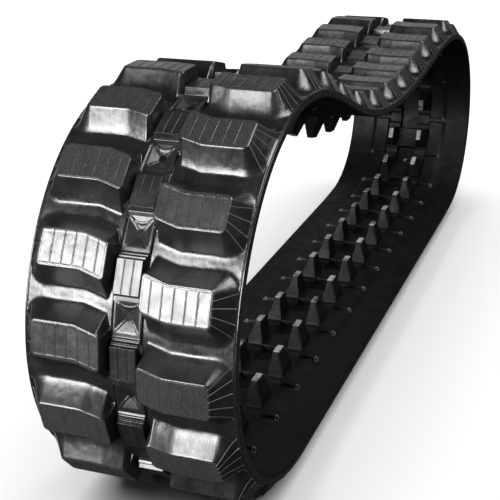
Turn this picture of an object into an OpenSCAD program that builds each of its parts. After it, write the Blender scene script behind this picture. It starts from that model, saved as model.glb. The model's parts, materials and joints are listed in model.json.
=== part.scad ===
// Endless rubber track for a small excavator, standing on its flat bottom run.
// One pitch = one moulded rubber section around one steel core. Two endless steel cord plies
// run through every section and tie the loop together; the belt flexes midway between the cores,
// on the cord line. Millimetres: +X along the track, +Y across it, +Z up, floor at Z = 0.

/* [Belt] */
// Length of one pitch along the cord line
pitch = 109; // [107:1:112]
// Overall width of the belt
belt_w = 300; // [290:5:320]
// Thickness of the belt between the cord line and the plain outer face
outer_t = 8; // [7:0.5:9]
// Thickness of the belt between the cord line and the plain inner face
inner_t = 7; // [6.5:0.5:8]

/* [Tread] */
// Height of the lug faces above the cord line
lug_h = 36; // [30:1:42]
// Length of a lug face along the track
lug_l = 50; // [44:1:52]
// Sideways start of a lug face, from the centre line
lug_y0 = 29; // [27:1:32]
// Sideways place of the kink in a lug
lug_yk = 62; // [56:1:68]
// Sideways end of a lug face
lug_y1 = 119; // [110:1:122]
// Angle of a lug's inboard part to its outboard part
lug_kink = 15; // [8:1:20]
// Distance along the track between a lug's outboard part and the core's centre
lug_shift = 24; // [23:1:26]
// Width of the raised centre plates
plate_w = 40; // [34:1:42]
// Length of the raised centre plates
plate_l = 46; // [40:1:50]
// Height of the centre plates above the cord line
plate_h = 20; // [15:1:24]

/* [Inner side] */
// Height of the roller pads above the cord line
pad_h = 14; // [12:0.5:16]
// Sideways start of a roller pad
pad_y0 = 54; // [53:1:56]
// Sideways end of a roller pad
pad_y1 = 85; // [82:1:90]
// Length of a roller pad along the track
pad_l = 96; // [88:1:98]
// Height of the guide horns above the cord line
horn_h = 50; // [44:1:54]
// Sideways start of a guide horn
horn_y0 = 27; // [26:1:28]
// Sideways end of a guide horn
horn_y1 = 49; // [46:1:50]
// Depth of the drive pockets below the plain inner face
pocket_d = 10; // [8:0.5:11]
// Width of the drive pockets
pocket_w = 44; // [40:1:46]

/* [Steel] */
// Width of a core from wing tip to wing tip
core_w = 220; // [200:2:224]
// Length of a core's wings along the track
wing_l = 36; // [32:1:40]
// Thickness of a cord ply
ply_t = 2; // [1.5:0.1:2.4]
// Width of a cord ply
ply_w = 70; // [60:1:74]
// Sideways start of a cord ply
ply_y0 = 60; // [58:1:62]

/* [Clearances] */
// Gap between neighbouring sections on the cord line
joint_gap = 0.4; // [0.3:0.05:0.8]
// Gap on each face of a cord ply
ply_gap = 0.3; // [0.2:0.05:0.5]
// Slope of a section's end on the inner side, which sets the tightest bend
inner_relief = 19; // [18:0.5:20]
// Slope of a section's end on the outer side, which sets the back bend
outer_relief = 7; // [6:0.5:8]

/* [Hidden] */
// The flat run on the floor, and the bend in degrees at each hinge after it. The near end's
// bends run up round the near end and along the top; the far end's start from the floor again.
// The two links between them close the loop.
flat_links = 11;
near_bends = [18, 24, 27, 25, 21, 19, 21, 22, 17, 9, -2, -8, -7, -5, -4, -3, 1, 6, 11, 17, 25];
far_bends = [3, 25];
near_chain = len(near_bends);
far_chain = len(far_bends);
moving_links = near_chain + 2 + far_chain;

function total(list, count, at = 0) = at >= count ? 0 : list[at] + total(list, count, at + 1);
function step(from, heading, length) = from + length * [cos(heading), sin(heading)];
function heading_of(v) = atan2(v[1], v[0]);

// Headings of the links laid from each end of the flat run, then of the closing pair
near_headings = [for (i = [1 : near_chain]) total(near_bends, i)];
far_headings = [for (i = [1 : far_chain]) 360 - total(far_bends, i)];
flat_start = [0, 0];
flat_end = [flat_links * pitch, 0];
function near_point(i) = i == 0 ? flat_end : step(near_point(i - 1), near_headings[i - 1], pitch);
function far_point(i) = i == 0 ? flat_start : step(far_point(i - 1), far_headings[i - 1], -pitch);
gap_from = near_point(near_chain);
gap_to = far_point(far_chain);
gap_half_angle = acos(norm(gap_to - gap_from) / 2 / pitch);
gap_heading = heading_of(gap_to - gap_from) + 360;
closing_headings = [gap_heading - gap_half_angle, gap_heading + gap_half_angle];

// One heading and one hinge point for every moving link, numbered round from the near end
headings = concat(near_headings, closing_headings, [for (i = [far_chain : -1 : 1]) far_headings[i - 1]]);
hinge_points = concat(
    [for (i = [0 : near_chain]) near_point(i)],
    [step(gap_from, closing_headings[0], pitch)],
    [for (i = [far_chain : -1 : 0]) far_point(i)]);
function centre_of(i) = (hinge_points[i] + hinge_points[i + 1]) / 2;

// The lug tips that reach furthest along the track put the origin midway between the ends
tip_x = lug_shift + lug_l / 2;
function inward(heading) = [-sin(heading), cos(heading)];
function tip(i, side) = step(centre_of(i), headings[i], side * tip_x) - lug_h * inward(headings[i]);
tips_x = [for (i = [0 : moving_links - 1]) for (side = [-1, 1]) tip(i, side)[0]];
shift_x = -(min(tips_x) + max(tips_x)) / 2;

// A section's half length on the cord line, and heights used by several modules
half_l = (pitch - joint_gap) / 2;
bridge_half_l = 19;
bridge_bottom = -5;
bridge_top = 9;
cover_half_l = bridge_half_l + 7;
cover_top = bridge_top + 2;
wing_bottom = 2.4;
wing_top = 9;
wing_step_y = pad_y1 - 1;
wing_tip_top = 5.6;
flank_run = 16;
lug_end_run = 5;
edge_round = 3;
pad_chamfer = 9;
boss_h = 13;
boss_wall = 4;
boss_slope = 4;
horn_base_half_l = 27;
horn_tip_half_l = 12;
horn_tip_inset = 5;
horn_shoulder_h = 20;

function two(n) = str(n < 10 ? "0" : "", n);
function rubber_name(i) = str("rubber_section_", two(i + 1));
function core_name(i) = str("steel_core_", two(i + 1));

// Link frame: X along the track, Y across, Z towards the inside of the loop, cord line at Z = 0
module place_link(i) {
    c = centre_of(i);
    translate([c[0] + shift_x, 0, c[1] + lug_h]) rotate([0, -headings[i], 0]) children();
}

module place_flat_links() {
    for (k = [0 : flat_links - 1])
        translate([shift_x + (k + 0.5) * pitch, 0, lug_h]) children();
}

// An outline in X and Z, extruded across the track from y0 to y1
module across(y0, y1) {
    translate([0, y1, 0]) rotate([90, 0, 0]) linear_extrude(y1 - y0) children();
}

// An outline in Y and Z, extruded along the track over a length centred on the link
module along(length) {
    rotate([90, 0, 90]) linear_extrude(length, center = true) children();
}

module both_sides() {
    children();
    mirror([0, 1, 0]) children();
}

// The space one section may fill without meeting its neighbours when the belt bends
module bend_envelope() {
    inner_x = half_l - horn_h * tan(inner_relief);
    outer_x = half_l - lug_h * tan(outer_relief);
    across(-belt_w / 2, belt_w / 2) polygon([
        [half_l, 0], [inner_x, horn_h], [-inner_x, horn_h],
        [-half_l, 0], [-outer_x, -lug_h], [outer_x, -lug_h]]);
}

module carcass() {
    y = belt_w / 2;
    along(pitch) polygon([
        [-y, edge_round - outer_t], [edge_round - y, -outer_t],
        [y - edge_round, -outer_t], [y, edge_round - outer_t],
        [y, inner_t - edge_round], [y - edge_round, inner_t],
        [edge_round - y, inner_t], [-y, inner_t - edge_round]]);
}

// A lug's cross-section: flat face, sloping flanks
module lug_outline() {
    top = lug_l / 2;
    foot = top + flank_run;
    polygon([[-top, -lug_h], [top, -lug_h], [foot, -outer_t / 2], [-foot, -outer_t / 2]]);
}

// One kinked lug on the +Y side: straight outboard, turned towards the core's centre inboard
module lug() {
    intersection() {
        union() {
            translate([-lug_shift, 0, 0]) across(lug_yk, belt_w / 2) lug_outline();
            intersection() {
                translate([-lug_shift, lug_yk, 0]) rotate([0, 0, lug_kink])
                    across(-belt_w / 4, belt_w / 4) lug_outline();
                across(0, lug_yk) square([2 * pitch, 2 * lug_h], center = true);
            }
        }
        along(2 * pitch) polygon([
            [lug_y0 - lug_end_run, -outer_t / 2], [lug_y0, -lug_h],
            [lug_y1, -lug_h], [belt_w / 2 - edge_round, -outer_t / 2]]);
    }
}

module centre_plate() {
    translate([-plate_l / 2, -plate_w / 2, -plate_h]) cube([plate_l, plate_w, plate_h]);
}

module roller_pad() {
    foot = pad_y1 + pad_chamfer;
    along(pad_l) polygon([[pad_y0, 0], [foot, 0], [foot, inner_t], [pad_y1, pad_h], [pad_y0, pad_h]]);
}

// Rubber foot round a guide horn
module horn_boss() {
    top = horn_base_half_l + boss_wall;
    foot = top + boss_slope;
    across(horn_y0 - boss_wall, horn_y1 + boss_wall) polygon([
        [-foot, 0], [foot, 0], [top, boss_h], [-top, boss_h]]);
}

// Rubber over the core's bridge, level with the bottom of the guide channel
module bridge_cover() {
    translate([-cover_half_l, -horn_y0, 0]) cube([2 * cover_half_l, 2 * horn_y0, cover_top]);
}

// Drive pockets at both ends of a section, open to the inner side
module drive_pockets() {
    for (side = [-1, 1])
        translate([side * pitch / 2, 0, inner_t - pocket_d + horn_h])
            cube([pitch - 2 * cover_half_l, pocket_w, 2 * horn_h], center = true);
}

// Slots that the cord plies run through
module cord_slots() {
    slot_t = ply_t + 2 * ply_gap;
    both_sides() translate([-pitch / 2, ply_y0 - ply_gap, -slot_t / 2])
        cube([pitch, ply_w + 2 * ply_gap, slot_t]);
}

// Guide horn on the +Y side, tapered both ways
module guide_horn() {
    intersection() {
        across(horn_y0, horn_y1) polygon([
            [-horn_base_half_l, 0], [horn_base_half_l, 0],
            [horn_tip_half_l, horn_h], [-horn_tip_half_l, horn_h]]);
        along(pitch) polygon([
            [horn_y0, 0], [horn_y1, 0], [horn_y1, horn_shoulder_h],
            [horn_y1 - 2 * horn_tip_inset, horn_h], [horn_y0 + horn_tip_inset, horn_h],
            [horn_y0, horn_shoulder_h]]);
    }
}

// Steel core: bridge between the drive pockets, two guide horns, two stepped wings
module core() {
    translate([-bridge_half_l, -horn_y1, bridge_bottom])
        cube([2 * bridge_half_l, 2 * horn_y1, bridge_top - bridge_bottom]);
    along(wing_l) polygon([
        [-core_w / 2, wing_bottom], [core_w / 2, wing_bottom], [core_w / 2, wing_tip_top],
        [wing_step_y, wing_tip_top], [wing_step_y, wing_top], [-wing_step_y, wing_top],
        [-wing_step_y, wing_tip_top], [-core_w / 2, wing_tip_top]]);
    both_sides() intersection() {
        guide_horn();
        translate([-pitch / 2, 0, wing_bottom]) cube([pitch, belt_w / 2, horn_h]);
    }
}

// One pitch of moulded rubber
module rubber_section() {
    difference() {
        intersection() {
            union() {
                carcass();
                lug();
                rotate([0, 0, 180]) lug();
                centre_plate();
                bridge_cover();
                both_sides() roller_pad();
                both_sides() horn_boss();
            }
            bend_envelope();
        }
        drive_pockets();
        cord_slots();
        core();
    }
}

// Corner points of the whole cord line, moved outwards by d
function heading_before(i) = i == 0 ? 0 : headings[i - 1];
function heading_after(i) = i == moving_links ? 360 : headings[i];
function turn_at(i) = heading_after(i) - heading_before(i);
function mean_heading(i) = (heading_after(i) + heading_before(i)) / 2;
function corner(i, d) = hinge_points[i] - inward(mean_heading(i)) * d / cos(turn_at(i) / 2);
function cord_loop(d) = [for (i = [0 : moving_links]) corner(i, d)];

// Endless cord ply: a band that follows the cord line through every section
module cord_ply(y0) {
    translate([shift_x, 0, lug_h]) across(y0, y0 + ply_w) difference() {
        polygon(cord_loop(ply_t / 2));
        polygon(cord_loop(-ply_t / 2));
    }
}

module bottom_rubber() {
    color("#26262a") place_flat_links() rubber_section();
}

module bottom_cores() {
    color("#7c7f86") place_flat_links() core();
}

module cord_ply_left() {
    color("#a9a49a") cord_ply(-ply_y0 - ply_w);
}

module cord_ply_right() {
    color("#a9a49a") cord_ply(ply_y0);
}

module link_rubber(i) {
    color("#303035") place_link(i) rubber_section();
}

module link_core(i) {
    color("#8a8d94") place_link(i) core();
}

bottom_rubber();
bottom_cores();
cord_ply_left();
cord_ply_right();
for (i = [0 : moving_links - 1]) {
    link_rubber(i);
    link_core(i);
}
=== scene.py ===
"""Rubber track for a mini excavator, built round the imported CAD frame.

It adds the moulded belt and the cord plies, and gives the CAD's steel cores their material.
"""

import json
import math

import bpy
import numpy as np
from mathutils import Matrix, Vector

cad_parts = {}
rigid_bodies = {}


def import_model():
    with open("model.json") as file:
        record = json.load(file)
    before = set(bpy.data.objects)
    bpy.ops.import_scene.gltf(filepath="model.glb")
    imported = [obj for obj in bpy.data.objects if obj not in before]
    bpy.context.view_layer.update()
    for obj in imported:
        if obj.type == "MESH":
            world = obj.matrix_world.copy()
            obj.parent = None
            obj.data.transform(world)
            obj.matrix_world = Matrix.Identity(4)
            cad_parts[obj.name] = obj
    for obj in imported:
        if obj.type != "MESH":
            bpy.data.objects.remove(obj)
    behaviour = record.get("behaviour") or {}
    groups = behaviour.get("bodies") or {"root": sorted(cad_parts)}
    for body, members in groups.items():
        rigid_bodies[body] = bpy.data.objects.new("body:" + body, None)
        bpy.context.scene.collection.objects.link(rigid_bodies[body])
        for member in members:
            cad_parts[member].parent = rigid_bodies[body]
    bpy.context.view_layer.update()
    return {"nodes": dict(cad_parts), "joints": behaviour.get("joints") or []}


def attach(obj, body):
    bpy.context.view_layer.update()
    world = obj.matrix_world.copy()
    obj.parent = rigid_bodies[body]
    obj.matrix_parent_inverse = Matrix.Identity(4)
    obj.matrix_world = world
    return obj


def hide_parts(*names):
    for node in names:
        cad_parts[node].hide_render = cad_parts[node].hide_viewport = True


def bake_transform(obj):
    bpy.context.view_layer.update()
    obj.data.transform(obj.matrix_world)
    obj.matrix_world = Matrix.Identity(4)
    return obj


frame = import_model()

# ---------------------------------------------------------------------------
# Sizes of one pitch of the belt, in millimetres. In a link's own flat frame,
# s runs along travel from the link's middle, y across the belt and n outwards
# from the cord line.
# ---------------------------------------------------------------------------
MM = 0.001
PITCH = 109.0
LINKS = 36
CHAIN_LINKS = 25  # the links that move; the others lie in the flat run
OPEN_HINGE = 13  # the pivot that the tree of joints leaves open
HALF_W = 150.0
EDGE_T = 7.0
EDGE_ROUND = 3.0
EDGE_BEAD_Y, EDGE_BEAD_HALF, EDGE_BEAD_H = 146.0, 1.2, 0.7
INSIDE_EDGE = 99.0  # a height that limits nothing
SOFT_EDGE = 0.8  # rounding of most moulded edges

LUG_H = 36.0
LUG_L = 50.0
LUG_OFFSET = 24.0
LUG_Y0 = 25.0
LUG_KINK_Y = 62.0
LUG_Y1 = 124.0
LUG_SLANT = math.tan(math.radians(15))
LUG_CORNER = 6.5
FLOOR_H = 9.0
TROUGH_H = 7.4
CROWN_Y, CROWN_FALL, CROWN_SOFT = 100.0, 3.6, 0.1
FLANK_RUN, FLANK_POWER = 28.0, 2.0
INBOARD_RUN, INBOARD_POWER = 4.6, 1.5
OUTBOARD_RUN, OUTBOARD_POWER = 22.5, 1.15
FLANK_SINK = 1  # the flanks end this far below the trough, which they blend into
LUG_ROOT_SOFT = 1.6
FACE_SOFT = 1.3
FACE_DROP = 0.8  # the face lies low, so that its marks don't stand past LUG_H
LIP_IN, LIP_HALF, LIP_H = 3.4, 1.5, 0.4
LUG_LINES = (40.0, 56.0, 72.0, 88.0, 104.0)
LINE_SPACING, LINE_HALF, LINE_H = 16.0, 1.2, 0.7
LINE_START, LINE_RUN = 4.0, 1.5

PLATE_H = 20.0
PLATE_HALF_L = 23.0
PLATE_HALF_W = 20.0
PLATE_STEPS = ((23.0, 0.7, 5.0), (27.0, 0.8, 4.0), (31.0, 3.0, PLATE_H))  # (s, run, drop)
PLATE_BACK_RUN, PLATE_SIDE_RUN = 1.2, 3.2
PLATE_LINE_Y, PLATE_LINE_HALF, PLATE_LINE_H = 6.5, 1.1, 0.9
PLATE_LINE_HALF_L = PLATE_HALF_L - 1

MIDDLE_HALF_W = 22.0  # the strip of plates and pockets between the lugs
RIB_Y, RIB_HALF, RIB_H = 21.0, 1.6, 2.2
RIB_START, RIB_RUN = 30.0, 3.0
HOLLOW_S, HOLLOW_HALF_L, HOLLOW_HALF_W, HOLLOW_DEPTH = 4.0, 20.0, 17.0, 8.5
CREASE_HALF, CREASE_RUN, CREASE_H = 0.12, 0.1, 1.5
CREASE_FADE = 8
ARC_S, ARC_R, ARC_HALF, ARC_H, ARC_HALF_W = 34.0, 22.0, 1.6, 1.6, 14.0

PAD_H = 14.0
PAD_Y0, PAD_Y1, PAD_Y2 = 54.0, 85.0, 94.0
PAD_HALF_L = 48.0
PAD_INNER_SLOPE, PAD_END_SLOPE = 1.6, 4.0
PAD_OUTER_SOFT, PAD_END_SOFT = 4.0, 0.7
WING_H, WING_HALF_L, WING_Y, WING_SLOPE, WING_SOFT = 10.5, 38.0, 60.0, 0.8, 1.0
HORN_H = 50.0
HORN_SKIN = 2.2
HORN_Y0, HORN_Y1 = 27.0 - HORN_SKIN, 49.0 + HORN_SKIN
HORN_BASE, HORN_TIP = 27.0 + HORN_SKIN, 12.0 + HORN_SKIN
HORN_ROOT, HORN_INNER_SLOPE, HORN_OUTER_SLOPE = 20.0, 6.0, 3.0
HORN_SOFT, HORN_TIP_SOFT = 1.5, 1.2
BESIDE_HORN = -60.0  # a height far below every other
CHANNEL_H = 11.0
CHANNEL_HALF_L = 26.0
POCKET_HALF_W = 21.2
POCKET_N = 3.0
POCKET_SOFT = 0.4
WALL_SLOPE = 9.0  # the nearly sheer walls of pockets and bridges
BRIDGE_MARGIN, BRIDGE_SLOPE, BRIDGE_SOFT = 2.0, 3.0, 0.5

RING_S, RING_Y, RING_R, RING_TUBE = PAD_HALF_L + 1, 86.0, 2.6, 0.9
RING_STEPS, RING_SIDES, RING_RISE = 16, 6, 1.2
FAN = ((-17, -20), (-8, -9), (2, 1), (11, 11), (19, 21))  # (s at the lug, spread to the edge)
FAN_POINTS, FAN_CURVE = 12, 1.2
FAN_Y0, FAN_Y1 = LUG_Y1 - 1, HALF_W - 4.5
FAN_SECTION = ((-0.9, 0, -0.5), (0.9, 0, -0.5), (0, 0, 0.75))

PLY_Y0, PLY_Y1 = 60.0, 130.0
PLY_CORDS, LINES_PER_CORD, PLY_COLUMNS = 28, 4, 9
PLY_WEB, CORD_RISE = 0.55, 0.4
PLY_GAP = 0.3  # on each side of the opened pivot

LUG_STIFFNESS = 0.85
HORN_ZONE_Y, HORN_ZONE_RUN = PAD_Y0 - 0.6, 3.0
STRAIGHT = 1e-5  # radians; a smaller bend counts as this one
FLAT_NAME = "belt_flat"


# ---------------------------------------------------------------------------
# Small shaping functions
# ---------------------------------------------------------------------------
def ramp(x, soft):
    """max(x, 0), with its corner rounded over soft each way."""
    rounded = (x + soft) ** 2 / (4 * soft)
    return np.where(x <= -soft, 0.0, np.where(x >= soft, x, rounded))


def soft_max(a, b, soft):
    return a + ramp(b - a, soft)


def soft_min(a, b, soft):
    return a - ramp(a - b, soft)


def ease(x):
    """0 to 1 as x goes from 0 to 1, with a soft start and end."""
    x = np.clip(x, 0, 1)
    return x * x * (3 - 2 * x)


def bead(x, half):
    """A raised round line, 1 at x = 0 and 0 from half outwards."""
    return np.where(np.abs(x) < half, 0.5 + 0.5 * np.cos(np.pi * x / half), 0.0)


def wrap(s):
    """s, measured from the nearest pitch."""
    return (s + PITCH / 2) % PITCH - PITCH / 2


# ---------------------------------------------------------------------------
# The loop's line: arcs that touch each link at its middle
# ---------------------------------------------------------------------------
def hinge_points():
    """The loop's 36 hinges as (x, z) in metres.

    They are in order of travel, from the near end of the flat run.
    """
    places = {j["name"]: np.array(j["pos_m"])[[0, 2]] for j in frame["joints"]}
    first = [places["flex_%02d" % i] for i in range(1, OPEN_HINGE + 1)]
    last = [places["flex_%02d" % i] for i in range(OPEN_HINGE + 1, CHAIN_LINKS + 1)]
    chord = last[0] - first[-1]
    sag = math.sqrt((PITCH * MM) ** 2 - chord @ chord / 4)
    inwards = np.array([-chord[1], chord[0]]) / np.linalg.norm(chord)
    opened = (first[-1] + last[0]) / 2 + inwards * sag
    flat_links = range(1, LINKS - CHAIN_LINKS)
    flat = [last[-1] + np.array([PITCH * MM * i, 0]) for i in flat_links]
    return np.array(first + [opened] + last + flat)


HINGES = hinge_points()
NEXT_HINGES = np.roll(HINGES, -1, axis=0)
CENTRES = (HINGES + NEXT_HINGES) / 2
HEADINGS = np.arctan2(*(NEXT_HINGES - HINGES).T[::-1])


def loop_line(s):
    """Point, tangent and outward normal, each (x, z), at s mm along from link 0's middle."""
    step = np.floor(s / PITCH)
    share = s / PITCH - step
    before = step.astype(int) % LINKS
    after = (before + 1) % LINKS
    heading = HEADINGS[before]
    bend = (HEADINGS[after] - heading + np.pi) % (2 * np.pi) - np.pi
    bend = np.where(np.abs(bend) < STRAIGHT, STRAIGHT, bend)
    radius = PITCH * MM / 2 / np.tan(bend / 2)
    angle = heading + bend * share
    along_x = radius * (np.sin(angle) - np.sin(heading))
    along_z = -radius * (np.cos(angle) - np.cos(heading))
    point = CENTRES[before] + np.stack([along_x, along_z], -1)
    tangent = np.stack([np.cos(angle), np.sin(angle)], -1)
    outward = np.stack([np.sin(angle), -np.cos(angle)], -1)
    return point, tangent, outward


def place(s, y, n, anchor, stiffness):
    """Flat belt coordinates to the frame.

    Where stiffness is 1, the rubber keeps its flat shape about s = anchor.
    """
    on_line = anchor + (s - anchor) * (1 - stiffness)
    point, tangent, outward = loop_line(on_line)
    flat = point + (s - on_line)[..., None] * MM * tangent + n[..., None] * MM * outward
    return np.stack([flat[..., 0], y * MM, flat[..., 1]], -1)


# ---------------------------------------------------------------------------
# Heights of the two faces of the belt over one pitch
# ---------------------------------------------------------------------------
def lug_shift(y):
    """How far the slanted inboard part of a lug leans along travel."""
    ay = np.abs(y)
    from_plate = (ay - PLATE_HALF_W) / (LUG_Y0 - PLATE_HALF_W)
    slanted = np.where(ay < LUG_Y0, from_plate, 1.0)
    lean = LUG_SLANT * (LUG_KINK_Y - np.maximum(ay, LUG_Y0))
    return np.sign(y) * np.clip(slanted, 0, 1) * np.clip(lean, 0, None)


def lug_height(s, y):
    """Height of the lugs, and the distance outside their face's outline."""
    ay = np.abs(y)
    along = np.abs(wrap(s + LUG_OFFSET * np.sign(y))) - LUG_L / 2 + LUG_CORNER
    inboard = LUG_Y0 - ay + LUG_CORNER
    outboard = ay - LUG_Y1 + LUG_CORNER
    across = np.maximum(inboard, outboard)
    along_out, across_out = np.maximum(along, 0), np.maximum(across, 0)
    outside = np.hypot(along_out, across_out)
    distance = np.where(outside > 0, outside, np.maximum(along, across)) - LUG_CORNER
    turn = across_out**2 / (outside**2 + 1e-9)
    end_run = np.where(outboard > inboard, OUTBOARD_RUN, INBOARD_RUN)
    end_power = np.where(outboard > inboard, OUTBOARD_POWER, INBOARD_POWER)
    run = 1 / np.sqrt((1 - turn) / FLANK_RUN**2 + turn / end_run**2)
    power = FLANK_POWER + (end_power - FLANK_POWER) * turn
    fall = np.clip(ramp(distance, FACE_SOFT) / run, 0, 1)
    return LUG_H - (LUG_H - TROUGH_H + FLANK_SINK) * (1 - (1 - fall) ** power), distance


def face_marks(y, distance):
    """The lip round a lug's face and the fine moulded lines along it."""
    depth = -distance
    lip = LIP_H * bead(depth - LIP_IN, LIP_HALF)
    lines = sum(bead(np.abs(y) - line, LINE_HALF) for line in LUG_LINES)
    return lip + LINE_H * lines * ease((depth - LINE_START) / LINE_RUN) - FACE_DROP


def plate_height(s, y):
    """A centre plate: flat with two lines, steps at its front end, a sheer wall at the other."""
    ay = np.abs(y)
    top = PLATE_H
    for start, run, drop in PLATE_STEPS:
        top = top - drop * ease((s - start) / run)
    top = top - PLATE_H * ease((-s - PLATE_HALF_L) / PLATE_BACK_RUN)
    on_top = np.abs(s) < PLATE_LINE_HALF_L
    top = top - PLATE_LINE_H * bead(ay - PLATE_LINE_Y, PLATE_LINE_HALF) * on_top
    from_side = ay - PLATE_HALF_W + PLATE_SIDE_RUN / 2
    side = PLATE_H - PLATE_H * ease(from_side / PLATE_SIDE_RUN)
    return soft_min(top, side, SOFT_EDGE)


def pocket_floor(s, y):
    """The hollow between two centre plates: an inverted pyramid, creased, with an arc beside it."""
    ay = np.abs(y)
    from_hollow = wrap(s - PITCH / 2) - HOLLOW_S
    along, across = np.abs(from_hollow) / HOLLOW_HALF_L, ay / HOLLOW_HALF_W
    hollow = np.clip(1 - np.maximum(along, across), 0, 1)
    crease = bead(along - across, CREASE_HALF) * ease(hollow * CREASE_FADE)
    crease = crease * ease((along - CREASE_HALF) / CREASE_RUN)
    arc = bead(np.hypot(from_hollow - ARC_S, y) - ARC_R, ARC_HALF) * (from_hollow < HOLLOW_HALF_L)
    return FLOOR_H - HOLLOW_DEPTH * hollow + CREASE_H * crease + ARC_H * arc * (ay < ARC_HALF_W)


def edge_limit(y):
    """The rounded edge of the belt."""
    past = np.clip(np.abs(y) - (HALF_W - EDGE_ROUND), 0, EDGE_ROUND)
    rounded = EDGE_T - EDGE_ROUND + np.sqrt(EDGE_ROUND**2 - past**2)
    return np.where(past > 0, rounded, INSIDE_EDGE)


def outer_height(s, y):
    """Height of the outer face, with the lugs and the plates."""
    ay = np.abs(y)
    floor = TROUGH_H - CROWN_FALL * ramp((ay - CROWN_Y) / (HALF_W - CROWN_Y), CROWN_SOFT) ** 2
    floor = np.where(ay < MIDDLE_HALF_W, pocket_floor(s, y), floor)
    rib = RIB_H * bead(ay - RIB_Y, RIB_HALF) * ease((np.abs(s) - RIB_START) / RIB_RUN)
    lugs, distance = lug_height(s, y)
    lugs = np.where(ay < PLATE_HALF_W, 0.0, lugs + face_marks(y, distance))
    plates = np.where(ay < LUG_Y0, plate_height(s, y), 0.0)
    height = soft_max(floor + rib, lugs, LUG_ROOT_SOFT)
    height = soft_max(height, plates, SOFT_EDGE)
    height = height + EDGE_BEAD_H * bead(ay - EDGE_BEAD_Y, EDGE_BEAD_HALF)
    return np.minimum(height, edge_limit(y))


def horn_height(s, y):
    """A guide horn under its rubber skin: sloped ends, and sides that lean in above the root."""
    ay = np.abs(y)
    ends = (HORN_BASE - np.abs(s)) * HORN_H / (HORN_BASE - HORN_TIP)
    inner_side = HORN_ROOT + (ay - HORN_Y0) * HORN_INNER_SLOPE
    outer_side = HORN_ROOT + (HORN_Y1 - ay) * HORN_OUTER_SLOPE
    inner_side = np.where(ay < HORN_Y0, BESIDE_HORN, inner_side)
    outer_side = np.where(ay > HORN_Y1, BESIDE_HORN, outer_side)
    sides = soft_min(inner_side, outer_side, HORN_SOFT)
    return soft_min(soft_min(ends, sides, HORN_SOFT), HORN_H + HORN_SKIN, HORN_TIP_SOFT)


def inner_height(s, y):
    """Height of the inner face, towards the inside of the loop."""
    ay, along = np.abs(y), np.abs(s)
    outer_fall = ramp(ay - PAD_Y1, PAD_OUTER_SOFT) * (PAD_H - EDGE_T) / (PAD_Y2 - PAD_Y1)
    pad = PAD_H - ramp(PAD_Y0 - ay, SOFT_EDGE) * PAD_INNER_SLOPE - outer_fall
    pad = np.minimum(pad, PAD_H - ramp(along - PAD_HALF_L, PAD_END_SOFT) * PAD_END_SLOPE)
    wing = WING_H - ramp(along - WING_HALF_L, WING_SOFT) * WING_SLOPE - ramp(ay - WING_Y, WING_SOFT)
    height = soft_max(np.full_like(s, EDGE_T), pad, SOFT_EDGE)
    height = soft_max(height, wing, SOFT_EDGE)
    pocket = -POCKET_N + ramp(ay - POCKET_HALF_W, POCKET_SOFT) * WALL_SLOPE
    height = soft_min(height, pocket, SOFT_EDGE)
    bridge = CHANNEL_H - ramp(along - CHANNEL_HALF_L, BRIDGE_SOFT) * WALL_SLOPE
    bridge = bridge - ramp(ay - HORN_Y0 - BRIDGE_MARGIN, BRIDGE_SOFT) * BRIDGE_SLOPE
    height = soft_max(height, bridge, SOFT_EDGE)
    height = soft_max(height, horn_height(s, y), HORN_SOFT)
    return np.minimum(height, edge_limit(y))


# ---------------------------------------------------------------------------
# The belt as one grid: columns along travel, and a ring of lines round the section.
# Each stretch is (first, last, gap). The gaps are small where the shape turns sharply.
# ---------------------------------------------------------------------------
def mirrored(values):
    values = np.array(values, float)
    return np.unique(np.concatenate([-values, values]))


def spaced(*stretches):
    """Values from each (first, last, about this far apart) stretch."""
    lines = []
    for first, last, gap in stretches:
        steps = max(1, int(round((last - first) / gap)))
        lines.append(np.linspace(first, last, steps + 1))
    return np.unique(np.round(np.concatenate(lines), 3))


COLUMNS = mirrored(
    spaced(
        (0, 2, 0.5), (2, 5, 1), (5, 20, 2.5), (20, 22.4, 1.2), (22.4, 24.2, 0.6),
        (24.2, 26.5, 1.15), (26.5, 28, 0.5), (28, 32, 1), (32, 47, 1.5), (47, 51, 0.6),
        (51, 54, 1),
    )
)
COLUMNS = np.append(COLUMNS, PITCH / 2)
MIDDLE_COLUMN = int(np.argmin(np.abs(COLUMNS)))
OVER_LINES = [(y - LINE_HALF, y + LINE_HALF, 0.6) for y in LUG_LINES]
BETWEEN_LINES = [(y + LINE_HALF, y + LINE_SPACING - LINE_HALF, 3.4) for y in LUG_LINES]
OUTER_Y = mirrored(
    spaced(
        (0, 5.4, 1.35), (5.4, 7.6, 0.55), (7.6, 16.6, 1.3), (16.6, 24, 0.8), (24, 35, 1.1),
        (35, 38.8, 1.9), *OVER_LINES, *BETWEEN_LINES, (118.8, 122, 0.8), (122, 126, 0.8),
        (126, 144.4, 2.6), (144.4, 147, 0.65), (147, 150, 0.75),
    )
)
INNER_Y = mirrored(
    spaced(
        (0, 20, 5), (20, 23, 0.5), (23, 25, 1), (25, 26.2, 0.3), (26.2, 34, 1.3),
        (34, 49.5, 2.2), (49.5, 51.3, 0.3), (51.3, 53, 0.85), (53, 55, 0.5), (55, 84, 7.25),
        (84, 86.5, 0.83), (86.5, 92.5, 3), (92.5, 95, 0.83), (95, 145, 10), (145, 147, 1),
        (147, 150, 0.75),
    )
)[::-1]


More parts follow.
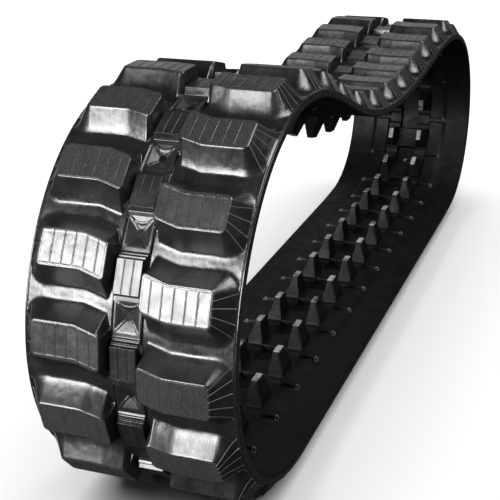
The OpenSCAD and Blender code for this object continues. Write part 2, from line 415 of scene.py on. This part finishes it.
def on_outside(link, s, y, lift=0.0):
    """Places and flat coordinates of points lift above the outer face.

    link is the s of the link's middle, and s is measured from it.
    """
    height = outer_height(s, y)
    on_lug = np.abs(y) > MIDDLE_HALF_W
    from_anchor = np.where(on_lug, wrap(s + LUG_OFFSET * np.sign(y)), s)
    top = np.where(on_lug, LUG_H, PLATE_H)
    stiffness = LUG_STIFFNESS * ease((height - FLOOR_H) / (top - FLOOR_H))
    shifted = s + lug_shift(y)
    real = link + shifted
    places = place(real, y, height + lift, real - from_anchor, stiffness)
    return places, np.stack([shifted, y, height + lift], -1)


def on_inside(link, s, y, lift=0.0):
    """The same for the inner face."""
    depth = inner_height(s, y)
    on_horn = ease((depth - CHANNEL_H) / HORN_ZONE_RUN)
    stiffness = np.where(np.abs(y) < HORN_ZONE_Y, on_horn, 0.0)
    places = place(link + s, y, -depth - lift, link + 0 * s, stiffness)
    return places, np.stack([s, y, -depth - lift], -1)


def build_grid():
    """The whole belt's places, flat coordinates and smooth normals, each (column, line, 3)."""
    s_in_link = np.tile(COLUMNS, LINKS)[:, None]
    link = np.repeat(np.arange(LINKS), len(COLUMNS))[:, None] * PITCH
    outer, outer_flat = on_outside(link, *np.broadcast_arrays(s_in_link, OUTER_Y[None, :]))
    inner, inner_flat = on_inside(link, *np.broadcast_arrays(s_in_link, INNER_Y[None, :]))
    places = np.concatenate([outer, inner], 1)
    flat = np.concatenate([outer_flat, inner_flat], 1)
    forward, back = np.roll(places, -1, 0), np.roll(places, -1, 1)
    across = np.roll(forward, -1, 1)
    face = np.cross(back - forward, across - places)
    normals = face + np.roll(face, 1, 0) + np.roll(face, 1, 1) + np.roll(face, (1, 1), (0, 1))
    normals /= np.linalg.norm(normals, axis=-1, keepdims=True) + 1e-12
    return places, flat * MM, normals


GRID, FLAT, NORMALS = build_grid()
RING = GRID.shape[1]


def cap_triangles(outer_y, inner_y):
    """Triangles between the outer and inner lines of one cross-section, as ring indices."""
    inner_index = np.arange(len(inner_y))[::-1] + len(outer_y)
    inner_sorted = inner_y[::-1]
    i = j = 0
    triangles = []
    while i < len(outer_y) - 1 or j < len(inner_y) - 1:
        inner_done, outer_done = j == len(inner_y) - 1, i == len(outer_y) - 1
        if inner_done or (not outer_done and outer_y[i + 1] <= inner_sorted[j + 1]):
            triangles.append((i, i + 1, inner_index[j]))
            i += 1
        else:
            triangles.append((i, inner_index[j + 1], inner_index[j]))
            j += 1
    return np.array(triangles)


CAP = cap_triangles(OUTER_Y, INNER_Y)


def store_flat(mesh, flat):
    """Keep each vertex's flat coordinates, in metres, for the materials."""
    attribute = mesh.attributes.new(FLAT_NAME, "FLOAT_VECTOR", "POINT")
    attribute.data.foreach_set("vector", flat.astype(np.float32).ravel())


def belt_mesh(name, first, last):
    """A closed mesh of the belt from column first to last, with the whole belt's normals."""
    columns = np.arange(first, last + 1) % len(GRID)
    width = len(columns)
    vertices = GRID[columns].reshape(-1, 3)
    column, line = np.meshgrid(np.arange(width - 1), np.arange(RING), indexing="ij")
    here, beside = column * RING + line, column * RING + (line + 1) % RING
    quads = np.stack([here, beside, beside + RING, here + RING], -1).reshape(-1, 4)
    start_cap = CAP[:, ::-1]
    end_cap = CAP + (width - 1) * RING
    loops = np.concatenate([quads.ravel(), start_cap.ravel(), end_cap.ravel()])
    sizes = np.concatenate([np.full(len(quads), 4), np.full(2 * len(CAP), 3)])
    mesh = bpy.data.meshes.new(name)
    mesh.vertices.add(len(vertices))
    mesh.vertices.foreach_set("co", vertices.astype(np.float32).ravel())
    mesh.loops.add(len(loops))
    mesh.loops.foreach_set("vertex_index", loops.astype(np.int32))
    mesh.polygons.add(len(sizes))
    starts = np.concatenate([[0], np.cumsum(sizes)[:-1]])
    mesh.polygons.foreach_set("loop_start", starts.astype(np.int32))
    mesh.update(calc_edges=True)
    mesh.polygons.foreach_set("use_smooth", np.ones(len(sizes), bool))
    on_inner_face = (line.ravel() >= len(OUTER_Y)) & (line.ravel() < RING - 1)
    skins = np.concatenate([on_inner_face, np.zeros(2 * len(CAP), bool)])
    mesh.polygons.foreach_set("material_index", skins.astype(np.int32))
    normals = NORMALS[columns].reshape(-1, 3)[loops]
    for cap, share in ((start_cap, 0), (end_cap, 1)):
        begin = quads.size + share * CAP.size
        a, b, c = vertices[cap[len(cap) // 2]]
        flat_normal = np.cross(b - a, c - a)
        normals[begin : begin + CAP.size] = flat_normal / np.linalg.norm(flat_normal)
    mesh.normals_split_custom_set(normals.astype(np.float32))
    flat = FLAT[columns].copy()
    flat[..., 0] += (np.arange(first, last + 1) // len(COLUMNS) * PITCH * MM)[:, None]
    store_flat(mesh, flat)
    return mesh


def new_object(name, data):
    obj = bpy.data.objects.new(name, data)
    bpy.context.scene.collection.objects.link(obj)
    return obj


def body_of_link(link):
    link %= LINKS
    return "link_%02d" % (link + 1) if link < CHAIN_LINKS else "root"


def fasten(obj, hinge):
    """The piece over a hinge rides on the link's body where both sides are one body; elsewhere its
    place is baked into the mesh and it has no parent.
    """
    before, after = body_of_link(hinge - 1), body_of_link(hinge)
    if before == after:
        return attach(obj, before)
    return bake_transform(obj)


# ---------------------------------------------------------------------------
# Materials. The belt's are laid out on its flat coordinates, so they don't break at a joint.
# ---------------------------------------------------------------------------
# Where a look begins and is complete: heights out from the cord line, and y, in metres.
FACE_N = (0.0335, 0.0350)
FLANK_FOOT_N, FLANK_HEAD_N = (0.012, 0.020), (0.0345, 0.032)
HOLLOW_N = (0.0125, 0.0105)
HORN_TIP_N = (-0.0500, -0.0518)
MIDDLE_Y = (0.0195, 0.0180)

OUTER_BLACK, OUTER_FADED = (0.003, 0.003, 0.0032, 1), (0.009, 0.0088, 0.0085, 1)
OUTER_DUST, OUTER_DUST_SHARE = (0.045, 0.042, 0.038, 1), 0.2
SCUFF_GREY, SCUFF_SHARE = (0.10, 0.10, 0.098, 1), 0.7
INNER_BLACK, INNER_BROWN = (0.0018, 0.0014, 0.0013, 1), (0.0055, 0.0045, 0.0042, 1)
INNER_DUST, INNER_DUST_SHARE = (0.024, 0.021, 0.018, 1), 0.18
# The grey for the horns' tips is a painted highlight.
HORN_TIP_HIGHLIGHT_GREY = (0.24, 0.235, 0.23, 1)
# The grey for the thin raised lines is partly painted highlight, partly wear.
WORN_BLACK, LINE_WEAR_AND_HIGHLIGHT_GREY = (0.01, 0.01, 0.01, 1), (0.12, 0.117, 0.114, 1)
FORGED_GREY, CORD_BRASS = (0.30, 0.29, 0.28, 1), (0.55, 0.50, 0.40, 1)
FLOOR_WHITE = (0.86, 0.86, 0.86, 1)
DRAG_SCALE, SCUFF_SCALE = (14.0, 420.0, 60.0), (900.0, 1500.0, 60.0)  # along, across, out
PATCH_SHARE, DRAG_SHARE = 0.6, 0.4  # in the mottled polish
FLANK_DULLER, POCKET_DULLER = 0.06, 0.12  # added to the roughness
SCALE_SHADE, SCALE_DULLER = 0.45, 0.15  # forging scale: darker, and rougher


class Nodes:
    """Short calls that add and link shader nodes in one material."""

    MIX_SHARE, MIX_A, MIX_B, MIXED = 0, 6, 7, 2  # a Mix node's sockets for colours

    def __init__(self, name):
        self.material = bpy.data.materials.new(name)
        self.material.use_nodes = True
        self.tree = self.material.node_tree
        self.shader = self.tree.nodes["Principled BSDF"]

    def link(self, value, socket):
        if isinstance(value, bpy.types.NodeSocket):
            self.tree.links.new(value, socket)
        else:
            socket.default_value = value

    def add(self, kind, inputs=(), output=0, **settings):
        node = self.tree.nodes.new(kind)
        for key, value in settings.items():
            setattr(node, key, value)
        for key, value in dict(inputs).items():
            self.link(value, node.inputs[key])
        return node.outputs[output]

    def flat(self):
        """The belt's flat coordinates, in metres."""
        return self.add("ShaderNodeAttribute", output="Vector", attribute_name=FLAT_NAME)

    def maths(self, operation, *values):
        return self.add("ShaderNodeMath", dict(enumerate(values)), operation=operation)

    def step(self, value, low, high, to_low=0.0, to_high=1.0):
        keys = ("Value", "From Min", "From Max", "To Min", "To Max")
        inputs = dict(zip(keys, (value, low, high, to_low, to_high)))
        return self.add("ShaderNodeMapRange", inputs, interpolation_type="SMOOTHSTEP")

    def noise(self, vector, scale, detail=3.0, roughness=0.55):
        inputs = {"Vector": vector, "Scale": scale, "Detail": detail, "Roughness": roughness}
        return self.add("ShaderNodeTexNoise", inputs)

    def scaled(self, vector, scale):
        return self.add("ShaderNodeMapping", {"Vector": vector, "Scale": scale})

    def mix(self, share, a, b):
        node = self.tree.nodes.new("ShaderNodeMix")
        node.data_type = "RGBA"
        self.link(share, node.inputs[self.MIX_SHARE])
        self.link(a, node.inputs[self.MIX_A])
        self.link(b, node.inputs[self.MIX_B])
        return node.outputs[self.MIXED]

    def bump(self, height, strength, distance, under=None):
        inputs = {"Height": height, "Strength": strength, "Distance": distance}
        if under is not None:
            inputs["Normal"] = under
        return self.add("ShaderNodeBump", inputs)


def outer_rubber():
    """Black moulded rubber: glossy, with fine drag marks along travel and scuffs on the faces."""
    m = Nodes("track_rubber_outer")
    flat = m.flat()
    split = m.add("ShaderNodeSeparateXYZ", {"Vector": flat}).node
    across, out = split.outputs["Y"], split.outputs["Z"]
    on_face = m.step(out, *FACE_N)
    patches = m.noise(flat, scale=28.0, detail=4.0)
    drag = m.noise(m.scaled(flat, DRAG_SCALE), scale=1.0, detail=4.0, roughness=0.7)
    scuffs = m.noise(m.scaled(flat, SCUFF_SCALE), scale=1.0, detail=4.0, roughness=0.75)
    dust = m.step(m.noise(flat, scale=120.0, detail=5.0, roughness=0.7), low=0.55, high=0.75)
    dashes = m.maths("MULTIPLY", m.step(scuffs, low=0.45, high=0.70), on_face)
    black = m.mix(patches, OUTER_BLACK, OUTER_FADED)
    scuffed = m.mix(m.maths("MULTIPLY", dashes, SCUFF_SHARE), black, SCUFF_GREY)
    dusty = m.mix(m.maths("MULTIPLY", dust, OUTER_DUST_SHARE), scuffed, OUTER_DUST)
    m.link(dusty, m.shader.inputs["Base Color"])
    broad = m.maths("MULTIPLY", patches, PATCH_SHARE)
    mottle = m.maths("ADD", broad, m.maths("MULTIPLY", drag, DRAG_SHARE))
    on_flank = m.maths("MULTIPLY", m.step(out, *FLANK_FOOT_N), m.step(out, *FLANK_HEAD_N))
    in_middle = m.step(m.maths("ABSOLUTE", across), *MIDDLE_Y)
    in_pocket = m.maths("MULTIPLY", in_middle, m.step(out, *HOLLOW_N))
    polish = m.step(mottle, low=0.25, high=0.75, to_low=0.18, to_high=0.38)
    dulled = m.maths("ADD", polish, m.maths("MULTIPLY", on_flank, FLANK_DULLER))
    dulled = m.maths("ADD", dulled, m.maths("MULTIPLY", in_pocket, POCKET_DULLER))
    m.link(dulled, m.shader.inputs["Roughness"])
    waves, grain = m.noise(flat, scale=34.0, detail=2.0), m.noise(flat, scale=900.0, detail=2.0)
    relief = m.bump(waves, strength=0.35, distance=0.004)
    relief = m.bump(grain, strength=0.2, distance=0.0004, under=relief)
    relief = m.bump(drag, strength=0.22, distance=0.0006, under=relief)
    relief = m.bump(scuffs, strength=0.10, distance=0.0003, under=relief)
    m.link(relief, m.shader.inputs["Normal"])
    m.shader.inputs["IOR"].default_value = 1.52
    return m.material


def inner_rubber():
    """The same rubber inside the loop: matt, browner and dusty, with a painted highlight in light
    grey on the horns' tips.
    """
    m = Nodes("track_rubber_inner")
    flat = m.flat()
    patches = m.noise(flat, scale=34.0, detail=5.0, roughness=0.6)
    dust = m.step(m.noise(flat, scale=150.0, detail=5.0, roughness=0.7), low=0.5, high=0.72)
    out = m.add("ShaderNodeSeparateXYZ", {"Vector": flat}, output="Z")
    # Painted highlight: the horns' tips are painted light grey in mottled patches.
    tip_highlight = m.maths("MULTIPLY", m.step(out, *HORN_TIP_N), m.step(patches, low=0.3, high=0.6))
    brown = m.mix(patches, INNER_BLACK, INNER_BROWN)
    dusty = m.mix(m.maths("MULTIPLY", dust, INNER_DUST_SHARE), brown, INNER_DUST)
    m.link(m.mix(tip_highlight, dusty, HORN_TIP_HIGHLIGHT_GREY), m.shader.inputs["Base Color"])
    matt = m.step(patches, low=0.3, high=0.7, to_low=0.45, to_high=0.62)
    m.link(matt, m.shader.inputs["Roughness"])
    waves, grain = m.noise(flat, scale=60.0, detail=3.0), m.noise(flat, scale=800.0, detail=3.0)
    relief = m.bump(waves, strength=0.3, distance=0.002)
    relief = m.bump(grain, strength=0.2, distance=0.0004, under=relief)
    m.link(relief, m.shader.inputs["Normal"])
    m.shader.inputs["Specular IOR Level"].default_value = 0.12
    return m.material


def line_wear_and_highlight_rubber():
    """Rubber painted a lighter grey on the thin raised lines, partly as painted highlight and
    partly as wear.
    """
    m = Nodes("track_rubber_wear_and_highlight")
    flat = m.flat()
    # The raised lines are painted a lighter grey at random: partly painted highlight, partly wear.
    wear_and_highlight = m.noise(flat, scale=160.0, detail=4.0, roughness=0.7)
    m.link(m.mix(wear_and_highlight, WORN_BLACK, LINE_WEAR_AND_HIGHLIGHT_GREY), m.shader.inputs["Base Color"])
    grain = m.noise(flat, scale=900.0, detail=2.0)
    m.link(m.bump(grain, strength=0.2, distance=0.0003), m.shader.inputs["Normal"])
    m.shader.inputs["Roughness"].default_value = 0.5
    return m.material


def steel_material(name, colour, roughness):
    """Bare forged or drawn steel with scale and grain."""
    m = Nodes(name)
    position = m.add("ShaderNodeTexCoord", output="Object")
    scale = m.noise(position, scale=60.0, detail=5.0, roughness=0.6)
    pits = m.noise(position, scale=700.0, detail=3.0)
    dark = tuple(SCALE_SHADE * c for c in colour[:3]) + (1,)
    m.link(m.mix(m.step(scale, low=0.4, high=0.65), dark, colour), m.shader.inputs["Base Color"])
    dull = m.step(scale, low=0.3, high=0.7, to_low=roughness + SCALE_DULLER, to_high=roughness)
    m.link(dull, m.shader.inputs["Roughness"])
    m.link(m.bump(pits, strength=0.25, distance=0.0004), m.shader.inputs["Normal"])
    m.shader.inputs["Metallic"].default_value = 1.0
    return m.material


def floor_material():
    m = Nodes("studio_floor")
    m.shader.inputs["Base Color"].default_value = FLOOR_WHITE
    m.shader.inputs["Roughness"].default_value = 0.9
    m.shader.inputs["Specular IOR Level"].default_value = 0.1
    return m.material


RUBBER = (outer_rubber(), inner_rubber())
LINE_WEAR_AND_HIGHLIGHT = line_wear_and_highlight_rubber()
FORGED = steel_material("core_steel", FORGED_GREY, roughness=0.42)
CORD = steel_material("cord_steel", CORD_BRASS, roughness=0.30)


# ---------------------------------------------------------------------------
# Pieces
# ---------------------------------------------------------------------------
def rubber_nodes(hinge):
    """The CAD rubber that the belt piece over this hinge replaces."""
    link = hinge % LINKS
    return ["rubber_section_%02d" % (link + 1)] if link < CHAIN_LINKS else ["bottom_rubber"]


def add_piece(name, mesh, materials, hinge, rides=None, nodes=()):
    """A piece over a hinge. It is fastened over the hinge, or rides on one link if rides is a link.
    """
    for material in materials:
        mesh.materials.append(material)
    piece = new_object(name, mesh)
    if rides is None:
        fasten(piece, hinge)
    else:
        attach(piece, body_of_link(rides))
    if nodes:
        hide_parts(*nodes)


def add_belt():
    """The belt's pieces, cut at the links' middles, and over the opened pivot also at the pivot."""
    count = len(COLUMNS)
    for hinge in range(LINKS):
        first = (hinge - 1) * count + MIDDLE_COLUMN
        last = first + count
        parts = [("", first, last, None)]
        if hinge == OPEN_HINGE:
            pivot = hinge * count - 1
            parts = [("a", first, pivot - 1, hinge - 1), ("b", pivot, last, hinge)]
        for letter, start, stop, rides in parts:
            name = "belt_%02d%s" % (hinge + 1, letter)
            mesh = belt_mesh(name, start, stop)
            add_piece(name, mesh, RUBBER, hinge, rides, rubber_nodes(hinge))


def tube(centres, offsets, closed):
    """A small tube as (points, faces).

    centres holds (s, y, lift) along it, and offsets holds its section at each centre.
    """
    count, sides = len(centres), offsets.shape[1]
    points = centres[:, None, :] + offsets
    faces = []
    for i in range(count if closed else count - 1):
        for j in range(sides):
            k, after = (j + 1) % sides, (i + 1) % count
            faces.append((i * sides + j, i * sides + k, after * sides + k, after * sides + j))
    if not closed:
        faces.append(tuple(range(sides))[::-1])
        faces.append(tuple((count - 1) * sides + j for j in range(sides)))
    return points.reshape(-1, 3), faces


def fan_strip(side, start, spread):
    """A thin raised line from a lug's outer end to the belt's edge."""
    y = side * np.linspace(FAN_Y0, FAN_Y1, FAN_POINTS)
    lug = -LUG_OFFSET * side
    s = lug + start + spread * np.linspace(0, 1, FAN_POINTS) ** FAN_CURVE
    centres = np.stack([s, y, 0 * s], -1)
    sections = np.broadcast_to(np.array(FAN_SECTION), (FAN_POINTS, 3, 3))
    return tube(centres, sections, closed=False)


def pad_ring(side):
    """The small moulded ring at the outer corner of a roller pad."""
    turn = np.linspace(0, 2 * np.pi, RING_STEPS, endpoint=False)
    around = np.linspace(0, 2 * np.pi, RING_SIDES, endpoint=False)
    direction = np.stack([np.cos(turn), np.sin(turn), 0 * turn], -1)
    centres = np.array([RING_S, side * RING_Y, 0]) + RING_R * direction
    offsets = RING_TUBE * np.cos(around)[None, :, None] * direction[:, None, :]
    offsets = offsets + RING_TUBE * np.sin(around)[None, :, None] * np.array([0, 0, RING_RISE])
    return tube(centres, offsets, closed=True)


def marks_mesh(name, hinge):
    """The moulded lines and rings that stand on one belt piece."""
    vertices, flats, faces = [], [], []

    def take(link, shape, surface):
        points, polygons = shape
        placed, flat = surface(link * PITCH, points[:, 0], points[:, 1], points[:, 2])
        base = sum(map(len, vertices))
        faces.extend(tuple(i + base for i in polygon) for polygon in polygons)
        vertices.append(placed)
        flats.append(flat * MM)

    for side in (-1, 1):
        link = hinge if side > 0 else hinge - 1
        for start, spread in FAN:
            take(link, fan_strip(side, start, spread), on_outside)
        take(hinge - 1, pad_ring(side), on_inside)
    mesh = bpy.data.meshes.new(name)
    mesh.from_pydata(np.concatenate(vertices).tolist(), [], faces)
    store_flat(mesh, np.concatenate(flats))
    return mesh


def add_marks():
    for hinge in range(LINKS):
        name = "marks_%02d" % (hinge + 1)
        rides = hinge if hinge == OPEN_HINGE else None
        add_piece(name, marks_mesh(name, hinge), [LINE_WEAR_AND_HIGHLIGHT], hinge, rides)


def ply_mesh(name, hinge, side, start, stop):
    """A thin band with the round backs of its cords, from start to stop about a hinge."""
    s = hinge * PITCH - PITCH / 2 + np.linspace(start, stop, PLY_COLUMNS)
    y = np.linspace(PLY_Y0, PLY_Y1, PLY_CORDS * LINES_PER_CORD + 1)
    turn = np.pi * (y - PLY_Y0) / (PLY_Y1 - PLY_Y0) * PLY_CORDS
    ridge = PLY_WEB + CORD_RISE * np.abs(np.sin(turn))
    ring_y = side * np.concatenate([y, y[::-1]])
    ring_n = np.concatenate([ridge, -ridge])
    s_grid, y_grid = np.meshgrid(s, ring_y, indexing="ij")
    n_grid = np.broadcast_to(ring_n, s_grid.shape)
    vertices = place(s_grid, y_grid, n_grid, s_grid, 0 * s_grid).reshape(-1, 3)
    lines = len(ring_y)
    faces = []
    for i in range(len(s) - 1):
        for j in range(lines):
            k = (j + 1) % lines
            quad = (i * lines + j, i * lines + k, (i + 1) * lines + k, (i + 1) * lines + j)
            faces.append(quad if side > 0 else quad[::-1])
    for row, flip in ((0, side > 0), (len(s) - 1, side < 0)):
        for j in range(len(y) - 1):
            top, low = row * lines + j, row * lines + lines - 1 - j
            quad = (top, low, low - 1, top + 1)
            faces.append(quad if flip else quad[::-1])
    mesh = bpy.data.meshes.new(name)
    mesh.from_pydata(vertices.tolist(), [], faces)
    return mesh


def add_plies():
    for label, side, node in (("left", -1, "cord_ply_left"), ("right", 1, "cord_ply_right")):
        for hinge in range(LINKS):
            parts = [("", -PITCH / 2, PITCH / 2, None)]
            if hinge == OPEN_HINGE:
                parts = [("a", -PITCH / 2, -PLY_GAP, hinge - 1), ("b", PLY_GAP, PITCH / 2, hinge)]
            for letter, start, stop, rides in parts:
                name = "cords_%s_%02d%s" % (label, hinge + 1, letter)
                mesh = ply_mesh(name, hinge, side, start, stop)
                add_piece(name, mesh, [CORD], hinge, rides, [node])


def dress_cores():
    """The CAD's steel cores stay, with a material of their own."""
    for name, node in frame["nodes"].items():
        if "core" in name:
            node.data.materials.clear()
            node.data.materials.append(FORGED)


add_belt()
add_marks()
add_plies()
dress_cores()


# ---------------------------------------------------------------------------
# Studio: pale floor, soft lights, camera
# ---------------------------------------------------------------------------
# Each soft box: place, target, size in metres, and watts.
LIGHTS = {
    "key_box": ((3.0, -1.09, 1.27), (0.85, 0, 0.3), (1.6, 1.4), 215),
    "top_box": ((0.3, 1.5, 2.8), (0.3, 0, 0.5), (2.2, 1.4), 110),
    "back_box": ((-3.4, -1.4, 1.5), (0, 0, 0.4), (3.0, 1.3), 7),
}
SUN_STRENGTH, SUN_ANGLE = 4.4, 100
WORLD_LIGHT, WORLD_SEEN = 0.04, 0.95
FLOOR_SIZE = 24
CAMERA_PLACE, CAMERA_TARGET = (2.0267, 0.6095, 0.9747), (0.0979, -0.1047, 0.1600)
CAMERA_LENS, SENSOR_WIDTH, CAMERA_ROLL, CLIP_END = 82.79, 36, -0.87, 60


def add_floor():
    bpy.ops.mesh.primitive_plane_add(size=FLOOR_SIZE, location=(0, 0, 0))
    floor = bpy.context.object
    floor.name = "floor"
    floor.data.materials.append(floor_material())
    floor.visible_glossy = False
    return floor


def turn_towards(location, target):
    """The turn that points a light or camera at location towards target."""
    return (Vector(target) - Vector(location)).to_track_quat("-Z", "Y")


def area_light(name, location, target, size, watts):
    light = bpy.data.lights.new(name, "AREA")
    light.shape = "RECTANGLE"
    light.size, light.size_y = size
    light.energy = watts
    obj = new_object(name, light)
    obj.location = location
    obj.rotation_euler = turn_towards(location, target).to_euler()
    obj.visible_camera = False
    return obj


def add_lights(floor):
    """Soft boxes that light only the object, and a wide sun that lights only the floor."""
    object_only = bpy.data.collections.new("lit_objects")
    for obj in bpy.data.objects:
        if obj.type == "MESH" and obj != floor:
            object_only.objects.link(obj)
    for name, settings in LIGHTS.items():
        area_light(name, *settings).light_linking.receiver_collection = object_only
    sun = bpy.data.lights.new("floor_sun", "SUN")
    sun.energy = SUN_STRENGTH
    sun.angle = math.radians(SUN_ANGLE)
    floor_only = bpy.data.collections.new("lit_floor")
    floor_only.objects.link(floor)
    new_object("floor_sun", sun).light_linking.receiver_collection = floor_only


def add_world():
    """A dim surround for the light, and a pale one for what the camera sees."""
    world = bpy.data.worlds.new("studio")
    world.use_nodes = True
    bpy.context.scene.world = world
    tree = world.node_tree
    background = tree.nodes["Background"]
    path = tree.nodes.new("ShaderNodeLightPath")
    strength = tree.nodes.new("ShaderNodeMapRange")
    strength.inputs["To Min"].default_value = WORLD_LIGHT
    strength.inputs["To Max"].default_value = WORLD_SEEN
    tree.links.new(path.outputs["Is Camera Ray"], strength.inputs["Value"])
    tree.links.new(strength.outputs[0], background.inputs["Strength"])
    background.inputs["Color"].default_value = (1, 1, 1, 1)


def add_camera():
    camera = bpy.data.cameras.new("camera")
    camera.lens = CAMERA_LENS
    camera.sensor_width = SENSOR_WIDTH
    camera.clip_end = CLIP_END
    obj = new_object("camera", camera)
    turn = turn_towards(CAMERA_PLACE, CAMERA_TARGET).to_matrix().to_4x4()
    roll = Matrix.Rotation(math.radians(CAMERA_ROLL), 4, "Z")
    obj.matrix_world = Matrix.Translation(CAMERA_PLACE) @ turn @ roll
    bpy.context.scene.camera = obj


floor = add_floor()
add_lights(floor)
add_world()
add_camera()
bpy.context.scene.view_settings.view_transform = "Standard"
